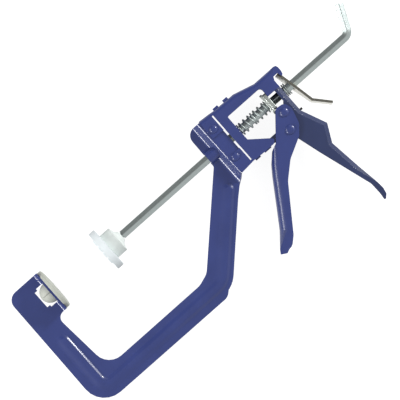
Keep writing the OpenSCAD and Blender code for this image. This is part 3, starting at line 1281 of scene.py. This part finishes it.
@dataclass
class Receiver:
    """Receiver channel over the head, its guide block and rivets."""

    half: float = 10.8
    web: list[Point2] = field(
        default_factory=lambda: [
            (183.4, 28.8), (194, 28), (200, 27.3), (221, 26.8), (240, 21.7), (255, 21.7),
            (257, 21.7), (262, 21.7), (264, 20.9), (264.8, 18.9), (264.8, 15.4), (264.1, 12.2),
        ]
    )
    side: list[Sequence[float]] = field(
        default_factory=lambda: [
            (263, 11.1), (262.2, 11.5), (261.5, 13.4), (261.3, 15.4), (256.6, 15.4),
            (255, 12.2), (255, 5.8), (242, 5.8), (241.8, 15.6, 3), (204.8, 15.6, 1.2),
            (204.6, -9.8, 1), (219.4, -21.6, 1.5), (222.2, -24.6, 1.2), (219.5, -27.6, 2.5),
            (206.5, -27.5), (196.5, -26.9), (183, -28), (181.4, -10.4, 1), (196.3, -10.8),
            (196.3, 9.6), (183, 9.8),
        ]
    )
    rivets: tuple[Point2, ...] = ((188.9, 15.7), (187.5, -14.2))

    def build(self) -> None:
        """Models the channel, the block and the rivets."""
        channel = Channel(
            "receiver_dressed", self.web, self.side, self.half, bend=4.6, bent=(0, 6)
        ).build()
        for low, high in ((-24.8, -10), (9, 24.8)):
            slit = [(195, low), (196.4, low), (196.4, high), (195, high)]
            cut(channel, prism("slit", slit, -self.half - 1, self.half + 1))
        soften(channel, 0.5, 3)
        place(channel, Body.FRAME, Slot.PAINT, "receiver_channel", smooth=38)
        block = copied("rod_guide")
        soften(block, 0.35, 3)
        place(block, Body.FRAME, Slot.PAINT, "rod_guide")
        rivet_heads("head_rivets", Body.FRAME, self.rivets, 3.7, 1.7, self.half)


def rivet(at: Point2, radius: float, height: float, z: float, side: int) -> Piece:
    """Domed rivet head along Z with a short shank under it.

    Args:
        at: Its place.
        radius: The head's radius.
        height: The head's height.
        z: The height that it sits on.
        side: 1 for the viewer's side, -1 for the other.

    Returns:
        The head.
    """
    steps, rim = 12, 0.25
    dome = [
        (height - (height - rim) * (k / steps) ** 3, radius * k / steps)
        for k in range(steps + 1)
    ]
    profile = dome + [(0.0, radius - 0.12), (0.0, 1.9), (-1.5, 1.9), (-1.5, 0.0)]
    piece = lathe("rivet", profile, 48)
    aim(piece, (at[0], at[1], z), (0, -90 * side, 0))
    return piece


def rivet_heads(
    node: str, body: Body, spots: Sequence[Point2], radius: float, height: float, half: float
) -> None:
    """Models rivet heads on both sides of the clamp as one piece.

    Args:
        node: The frame node that they stand for.
        body: The body that they ride on.
        spots: The rivets' places.
        radius: A head's radius.
        height: A head's height.
        half: The height of the sheet that they sit on.
    """
    heads = [
        rivet(at, radius, height, side * half, side) for at in spots for side in (1, -1)
    ]
    piece = join(heads)
    piece.name = node + "_dressed"
    place(piece, body, Slot.PAINT, node, smooth=40)


@dataclass
class Handle:
    """Handle channel with the stop pin in its back."""

    web: list[Point2] = field(
        default_factory=lambda: [
            (255, 17.2), (255, -21.4), (264.8, -44.2), (256.6, -60), (260.3, -90),
            (263.3, -110), (263.8, -117), (262.6, -122.5), (259.4, -125.6),
        ]
    )
    side: list[Sequence[float]] = field(
        default_factory=lambda: [
            (258.2, -125.2), (258.8, -119), (258.6, -108, 8), (243.4, -58.5),
            (237.4, -37, 1), (224, -30, 2), (220.3, -27.4), (205.1, -27.4), (205.1, -21.8),
            (228, -21.8), (239.5, -20.6), (247.6, -18, 2), (247.6, -7.4, 2), (249.4, -5.4),
            (249.4, 5.8), (242.2, 5.8), (242.2, 17.2),
        ]
    )

    def build(self) -> None:
        """Models the channel and the pin."""
        piece = Channel(
            "handle_dressed", self.web, self.side, 8.9, bend=3.3, bend_steps=1, bent=(0, 4)
        ).build()
        cut(piece, bore((250, 0), 4.6, 20))
        soften(piece, 0.35, 3)
        # The handle's side plates take the darker enamel: painted shade
        place(
            piece, Body.FRAME, Slot.PAINT, "handle_channel", smooth=38, variant=Variant.HANDLE
        )
        pin = copied("stop_pin")
        soften(pin, 0.2, 3)
        place(pin, Body.FRAME, Slot.DARK, "stop_pin")


@dataclass
class Trigger:
    """Trigger channel with its pivot and the pusher."""

    web: list[Point2] = field(
        default_factory=lambda: [
            (161, -101.8), (163.8, -97.7), (173.8, -85.9), (188.1, -64.7), (199.5, -47.6),
            (205.5, -39.5), (213.4, -31.6),
        ]
    )
    side: list[Sequence[float]] = field(
        default_factory=lambda: [
            (220.6, -28.4), (222.8, -25.8), (235, -11.6), (239.4, -6.4, 4),
            (248.4, -7.2, 5), (250.6, -15, 8), (246.6, -29, 8), (239.6, -36.8, 4),
            (221, -46.6, 12), (207, -59.2, 20), (180.4, -96.4, 8), (173, -103.2, 8),
            (163.2, -103.1),
        ]
    )
    pivot: Point2 = (237.5, -27.8)
    pusher: Point2 = (243.3, -13.4)
    half: float = 10.9

    def build(self) -> None:
        """Models the channel and both rivets."""
        piece = Channel(
            "trigger_dressed", self.web, self.side, self.half, bend=4.6, bent=(1, 99),
            swell=[(min(2.3, 3.7 - 0.4 * k), 2.25 - 0.14 * k) for k in range(len(self.web))],
        ).build()
        soften(piece, 0.35)
        place(piece, Body.TRIGGER, Slot.PAINT, "trigger", smooth=38)
        for at, size, body, node in (
            (self.pivot, 4.3, Body.FRAME, "trigger_pivot_rivet"),
            (self.pusher, 4.1, Body.TRIGGER, "pusher_rivet"),
        ):
            rivet_heads(node, body, [at], size, 1.8, self.half)


@dataclass
class Grips:
    """Drive plates, release lever and both springs."""

    wire_points: int = 24

    def plates(self) -> None:
        """Models the two drive plates and the release lever."""
        for node, body, slot, variant in (
            # The front drive plate takes the lighter plate finish: painted light
            ("drive_plate_front", Body.DRIVE, Slot.PLATE, Variant.FRONT),
            ("drive_plate_rear", Body.DRIVE, Slot.PLATE, None),
            ("release_lever", Body.RELEASE, Slot.LEVER, None),
        ):
            piece = copied(node)
            soften(piece, segments=3)
            place(piece, body, slot, node, variant=variant)

    def coil(
        self, name: str, rise: Callable[[float], Vector], turns: float, wire: float
    ) -> Piece:
        """Models a round wire along a coil.

        Args:
            name: The piece's name.
            rise: Gives the wire's place after a number of turns.
            turns: The number of turns.
            wire: The wire's diameter.

        Returns:
            The coil as a mesh.
        """
        steps = int(round(turns * self.wire_points))
        line = bpy.data.curves.new(name, "CURVE")
        line.dimensions = "3D"
        run = line.splines.new("POLY")
        run.points.add(steps)
        for point, k in zip(run.points, range(steps + 1)):
            point.co = (*rise(turns * k / steps), 1)
        line.bevel_depth = wire / 2
        line.bevel_resolution = 3
        line.use_fill_caps = True
        piece = linked(name, line)
        activate(piece)
        bpy.ops.object.convert(target="MESH")
        tidy(piece)
        return piece

    def build(self) -> None:
        """Models plates, lever and springs."""
        self.plates()
        start, end, wire, radius, closed, pitch = 205.5, 235.7, 1.3, 5.2, 1.8, 4.7
        ends, middle = 0.75, 1.0
        small_start, small_pitch, small_radius, small_wire = 255.65, 1.75, 5.5, 1.1
        run = (end - start - (2 * ends + middle) * closed) / pitch
        turns = run + 2 * ends + middle

        def main_place(t: float) -> Vector:
            slow = min(t, ends) + min(max(t - ends - run / 2, 0), middle)
            slow += max(t - ends - run - middle, 0)
            x = start + slow * closed + (t - slow) * pitch
            angle = 2 * math.pi * t
            return Vector((x, radius * math.cos(angle), radius * math.sin(angle)))

        def release_place(t: float) -> Vector:
            angle = 2 * math.pi * t
            x = small_start + small_pitch * t
            return Vector((x, -small_radius * math.cos(angle), small_radius * math.sin(angle)))

        main = self.coil("main_spring_dressed", main_place, turns, wire)
        place(main, Body.FRAME, Slot.SPRING, "main_spring", smooth=60)
        small = self.coil("release_spring_dressed", release_place, 2, small_wire)
        place(small, Body.FRAME, Slot.SPRING, "release_spring", smooth=60)


@dataclass
class Rod:
    """Bent hexagonal rod with its neck and ball."""

    flats: float = 7.4
    start: float = 71.3
    corner: float = 328.0
    bend_r: float = 7.0
    bend: float = 65.5
    tail: float = 27.5
    ball: float = 62.4
    ball_r: float = 4.6
    neck_r: float = 2.4
    shoulder_r: float = 3.2

    def build(self) -> None:
        """Models the rod."""
        radius = self.flats / 2 / math.cos(math.pi / 6)
        hexagon = [
            (radius * math.sin(math.pi * k / 3), radius * math.cos(math.pi * k / 3))
            for k in range(6)
        ]
        run = self.bend_r * math.tan(math.radians(self.bend / 2))
        piece = trace("hex_rod_dressed", [(self.start, y, z) for y, z in hexagon])
        extrude(piece, Part.FACE, lambda face: True, (self.corner - run - self.start, 0, 0))
        bend_at = (self.corner - run, self.bend_r, 0)
        spin(piece, level(bend_at[0]), self.bend, 12, bend_at, part=Part.FACE)
        turn = math.radians(self.bend)
        lean = Vector((math.cos(turn), math.sin(turn), 0))
        tip = Vector((self.corner, 0, 0)) + lean * run
        extrude(
            piece,
            Part.FACE,
            lambda face: all(abs((v.co - tip).dot(lean)) < NEAR for v in face.verts),
            tuple(lean * (self.tail - run)),
        )
        tidy(piece)
        soften(piece, 0.35, 3, 40)
        neck = [(self.ball - self.ball_r, 0.0)]
        neck += [
            (self.ball - self.ball_r * math.cos(a), self.ball_r * math.sin(a))
            for a in [math.radians(d) for d in range(15, 150, 15)]
        ]
        neck += [
            (self.ball + 4.2, self.neck_r), (self.start - 0.1, self.neck_r),
            (self.start + 0.3, self.shoulder_r), (self.start + 1, self.shoulder_r),
            (self.start + 1, 0.0),
        ]
        ball = lathe("ball", neck, 32)
        place(join([piece, ball]), Body.ROD, Slot.ROD, "hex_rod", smooth=25)


@dataclass
class Jaws:
    """Fixed pad, and the swivel jaw's cup and pad."""

    pad_r: float = 19.3
    fixed_y: float = 4.4
    gap: float = 48.7
    back: float = 7.5
    boss_x: float = -6.8
    boss_r: float = 9.1
    slit_half: float = 0.22
    rib_pitch: float = 6.5
    rib_width: float = 5.2
    rib_inset: float = 1.3

    def fixed(self) -> Piece:
        """Models the fixed pad with its split snap boss.

        Returns:
            The pad.
        """
        r = self.pad_r
        profile = [
            (0.0, 0.0), (0.0, 12.6), (-0.08, 14), (-0.5, 17.5), (-0.8, 18.3), (-1.2, 18.8),
            (-1.7, 19.15), (-2.3, r), (-4.1, r), (-4.45, r - 0.15), (-4.7, r - 0.5),
            (-4.7, 8.1), (self.boss_x, 8.1),
        ]
        profile += [
            (self.boss_x - self.boss_r * math.sin(a), self.boss_r * math.cos(a))
            for a in [math.radians(d) for d in range(0, 90, 9)]
        ] + [(self.boss_x - self.boss_r, 0.0)]
        piece = lathe("fixed_pad_dressed", profile, 72)
        aim(piece, (0, self.fixed_y, 0))
        low_y, high_y = self.fixed_y - self.slit_half, self.fixed_y + self.slit_half
        slit = [(-20, low_y), (-20, high_y), (-4.9, high_y), (-4.9, low_y)]
        for low, high in ((5, 12), (-12, -5)):
            cut(piece, prism("slit", slit, low, high))
        return piece

    def cup(self) -> Piece:
        """Models the cup.

        Returns:
            The cup.
        """
        base = self.gap + self.back
        profile = [
            (base, 0.0), (base, 11.8), (base + 0.3, 12.1), (base + 9.7, 12.1),
            (base + 10.1, 11.95), (base + 10.4, 11.5), (base + 10.7, 10.2),
            (base + 11.1, 8.4), (base + 11.8, 6.8), (base + 12.7, 5.7), (base + 13.6, 5.0),
            (base + 14.2, 4.7), (base + 14.4, 4.4), (base + 14.3, 3.9), (base + 8.2, 2.9),
            (base + 8.0, 0.0),
        ]
        return lathe("swivel_cup_dressed", profile, 64)

    def pad(self) -> Piece:
        """Models the swivel pad with its ribs.

        Returns:
            The pad.
        """
        face, back, r = self.gap + 1, self.gap + self.back, self.pad_r
        profile = [
            (face, 0.0), (face, r - 0.8), (face + 0.15, r - 0.3), (face + 0.6, r),
            (back - 0.6, r), (back - 0.15, r - 0.3), (back, r - 0.8), (back, 9.4),
            (back + 2.9, 9.4), (back + 2.9, 0.0),
        ]
        disc = lathe("swivel_pad_dressed", profile, 72)
        ribs = []
        limit = r - self.rib_inset
        for k in (-1.5, -0.5, 0.5, 1.5):
            low = k * self.rib_pitch - self.rib_width / 2
            edge = [low + self.rib_width * s / 5 for s in range(6)]
            right = [(y, math.sqrt(limit**2 - y**2)) for y in edge]
            outline = right + [(y, -z) for y, z in reversed(right)]
            rib = trace("rib", [(self.gap, y, z) for y, z in outline])
            extrude(rib, Part.FACE, lambda face: True, (1.2, 0, 0))
            tidy(rib)
            soften(rib, 0.8, 4)
            ribs.append(rib)
        return join([disc, *ribs])

    def build(self) -> None:
        """Models the three pieces."""
        place(self.fixed(), Body.FRAME, Slot.BEIGE, "fixed_jaw_pad", smooth=40)
        place(self.cup(), Body.CUP, Slot.GREY, "swivel_cup", smooth=40)
        place(self.pad(), Body.PAD, Slot.WHITE, "swivel_pad", smooth=40)


# Studio ----------------------------------------------------------------------------------


@dataclass
class Lamp:
    """One soft area lamp that points at the clamp."""

    name: str
    at: Point3
    size: Point2
    power: float


@dataclass
class Studio:
    """Floor, lamps, surroundings and camera."""

    centre: Point2 = (140.47, -21.62)
    roll: float = 41.6
    scale: float = 1.177
    lens: float = 900.0
    sensor: float = 36.0
    pixels: int = 400
    fill: float = 0.63
    floor_gap: float = 0.0008
    floor_grey: float = 0.3
    floor_seen: float = 0.6
    floor_bare: float = 0.3
    card: Point3 = (0.0, 0.86, 0.5)
    card_dark: float = 0.55
    above_dark: float = 0.42
    low_dark: float = 0.5
    lamps: tuple[Lamp, ...] = (
        Lamp("key", (1.05, 0.09, 0.46), (0.22, 0.24), 9.0),
        Lamp("second", (-1.05, 0.0, 0.46), (0.24, 0.26), 5.5),
        Lamp("strip", (1.0, 0.0, 0.62), (1.1, 0.05), 0.8),
        Lamp("front", (-0.85, 0.60, 0.46), (0.5, 0.26), 2.8),
    )

    def camera(self) -> None:
        """Places the camera square-on to the clamp's side."""
        data = bpy.data.cameras.new("camera")
        data.lens = self.lens
        data.sensor_width = self.sensor
        span = self.pixels / self.scale * MM
        away = span / 2 / (self.sensor / 2 / self.lens)
        data.clip_start, data.clip_end = 0.1, away * 4
        camera = linked("camera", data)
        camera.location = (self.centre[0] * MM, self.centre[1] * MM, away)
        camera.rotation_euler = (0, 0, math.radians(-self.roll))
        bpy.context.scene.camera = camera

    @staticmethod
    def seen(shop: Shop) -> Wave:
        """Whether a ray shows what it meets: a camera, glossy or transmission ray."""
        return shop.ray("Camera") + shop.ray("Glossy") + shop.ray("Transmission")

    def floor(self) -> None:
        """Lays the pale floor under the clamp."""
        low = CAD_BOX[0].z - self.floor_gap
        bpy.ops.object.select_all(action="DESELECT")
        bpy.ops.mesh.primitive_circle_add(
            vertices=96, radius=6, fill_type="NGON", location=(0.14, -0.02, low)
        )
        floor = bpy.context.active_object
        floor.name = "floor"
        bpy.ops.object.transform_apply(location=True, rotation=True, scale=True)
        shop = Shop(bpy.data.materials.new("floor_white"))
        grey = (self.floor_grey, self.floor_grey, self.floor_grey, 1)
        lit = shop.node("ShaderNodeBsdfDiffuse", {}, {"Color": grey})
        camera = shop.ray("Camera")
        strength = self.seen(shop) * self.floor_seen + camera * self.floor_bare
        glow = shop.node("ShaderNodeEmission", {}, {"Strength": strength})
        shop.end(shop.node("ShaderNodeAddShader", {}, {0: lit, 1: glow}))
        floor.data.materials.append(shop.owner)

    def light(self) -> None:
        """Hangs the lamps and sets the surroundings."""
        aim_at = Vector((0.14, -0.03, 0))
        for lamp in self.lamps:
            data = bpy.data.lights.new(lamp.name, "AREA")
            data.shape = "RECTANGLE"
            data.size, data.size_y = lamp.size
            data.energy = lamp.power
            made = linked(lamp.name, data)
            made.location = aim_at + Vector(lamp.at)
            made.rotation_euler = (-Vector(lamp.at)).to_track_quat("-Z", "Y").to_euler()
        world = bpy.data.worlds.new("studio")
        bpy.context.scene.world = world
        shop = Shop(world, "World", "Generated")
        camera = shop.ray("Camera")
        card = shop.facing(self.card).above(0.90, 0.14)
        above = shop.facing((0, 0, 1)).above(0.65, 0.5)
        low = shop.facing((0, 0, -1)).above(-0.25, 0.3)
        mirrored = 1.0 - self.card_dark * card
        mirrored = mirrored - self.above_dark * above - self.low_dark * low
        seen = self.seen(shop)
        strength = camera + (seen - camera) * mirrored + (1.0 - seen) * self.fill
        shop.end(shop.node("ShaderNodeBackground", {}, {"Strength": strength}))

    def build(self) -> None:
        """Sets the whole studio."""
        self.camera()
        self.floor()
        self.light()
        bpy.context.scene.view_settings.view_transform = "Standard"


MATERIALS: dict[Slot | Variant, bpy.types.Material] = {}


def dress_nodes() -> None:
    """Gives every frame node that still shows its procedural material."""
    slots = {row["node"]: Slot(row["material_slot"]) for row in frame["record"]["subparts"]}
    for name, node in frame["nodes"].items():
        node.data.materials.clear()
        node.data.materials.append(MATERIALS[slots[name]])


def main() -> None:
    """Builds the clamp's looks in order."""
    logging.basicConfig(level=logging.INFO, format="%(message)s")
    for slot, finish in FINISHES.items():
        MATERIALS[slot] = finish.make()
    dress_nodes()
    Studio().build()
    for unit in (CFrame(), Receiver(), Handle(), Trigger(), Grips(), Rod(), Jaws()):
        unit.build()
        LOG.info("%s done", type(unit).__name__)
    bpy.ops.object.select_all(action="DESELECT")
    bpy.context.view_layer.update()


if __name__ == "__main__":
    main()
